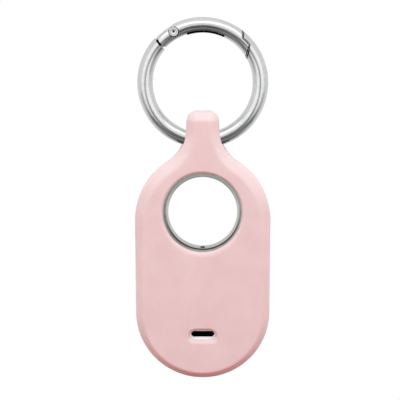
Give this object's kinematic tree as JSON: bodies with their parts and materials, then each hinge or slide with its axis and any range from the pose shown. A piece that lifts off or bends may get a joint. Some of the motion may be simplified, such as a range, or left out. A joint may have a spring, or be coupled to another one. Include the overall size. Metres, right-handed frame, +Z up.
{
  "type": "tracker tag holder",
  "caption": "Silicone case that holds an oval wireless tracker tag with a round hole, hung by its loop from a round spring gate ring.",
  "frame": {"origin": "centre of the spring ring's eye, on the mid-plane of the ring and the case", "axes": "+Z up as the holder hangs, the front with the speaker slot faces -Y, +X to the right seen from the front"},
  "size_m": [0.0346, 0.011, 0.0922],
  "materials": {
    "polished_ring": "polished, fine lines along the wire",
    "polished_gate": "polished, fine lines along the wire",
    "rivet_steel": "polished, worn",
    "spring_steel": "bright drawn wire",
    "silicone": "soft matte silicone",
    "tag_shell": "fine matte",
    "tag_metal": "satin",
    "dark_cloth": "fine black cloth",
    "foam": "matte",
    "brass_sheet": "satin",
    "ceramic": "fired, silvered",
    "dome_steel": "bright",
    "board": "solder mask",
    "shield_steel": "tinned",
    "chip_plastic": "matte",
    "contact_brass": "gilt",
    "tray_plastic": "fine matte",
    "cell_steel": "satin nickel"
  },
  "bodies": {
    "ring": {"ring_body": "polished_ring", "gate_rivet": "rivet_steel"},
    "gate": {"ring_gate": "polished_gate", "gate_spring": "spring_steel"},
    "plunger": {"spring_plunger": "spring_steel"},
    "case": {"case_shell": "silicone", "case_rear_lip": "silicone"},
    "tag": {"tag_front_housing": "tag_shell", "tag_rear_housing": "tag_shell", "tag_ring": "tag_metal", "speaker_mesh": "dark_cloth", "speaker_gasket": "foam", "piezo_plate": "brass_sheet", "piezo_ceramic": "ceramic", "switch_dome": "dome_steel", "circuit_board": "board", "shield_can": "shield_steel", "board_chips": "chip_plastic", "antenna_strip": "contact_brass", "battery_tray": "tray_plastic", "tray_gasket": "foam", "battery_can": "cell_steel", "battery_cap": "cell_steel", "positive_contact": "contact_brass", "negative_contact": "contact_brass"},
    "button": {"button_cap": "tag_shell"}
  },
  "joints": [
    {"name": "gate_swing", "type": "hinge", "parent": "ring", "child": "gate", "pos_m": [-0.00743, 0, 0.01303], "axis": [0, 1, 0], "range_deg": [0, 28], "stiffness_Nm_per_rad": 0.002, "springref_deg": -28.65},
    {"name": "plunger_slide", "type": "slide", "parent": "gate", "child": "plunger", "axis": [0.9272, 0, 0.3746], "range_m": [0, 0.00075], "deforming": ["gate_spring"]},
    {"name": "case_swing", "type": "hinge", "parent": "ring", "child": "case", "pos_m": [0, 0, -0.01475], "axis": [1, 0, 0], "range_deg": [-95, 95]},
    {"name": "tag_slide", "type": "slide", "parent": "case", "child": "tag", "axis": [0, 1, 0], "range_m": [0, 0.01], "deforming": ["case_rear_lip"]},
    {"name": "button_press", "type": "slide", "parent": "tag", "child": "button", "axis": [0, 1, 0], "range_m": [0, 0.00025], "stiffness_N_per_m": 3000, "springref_m": -0.00002, "deforming": ["switch_dome"]}
  ],
  "couplings": [
    {"joint": "plunger_slide", "follows": "gate_swing", "m_per_rad": 0.0014948}
  ]
}
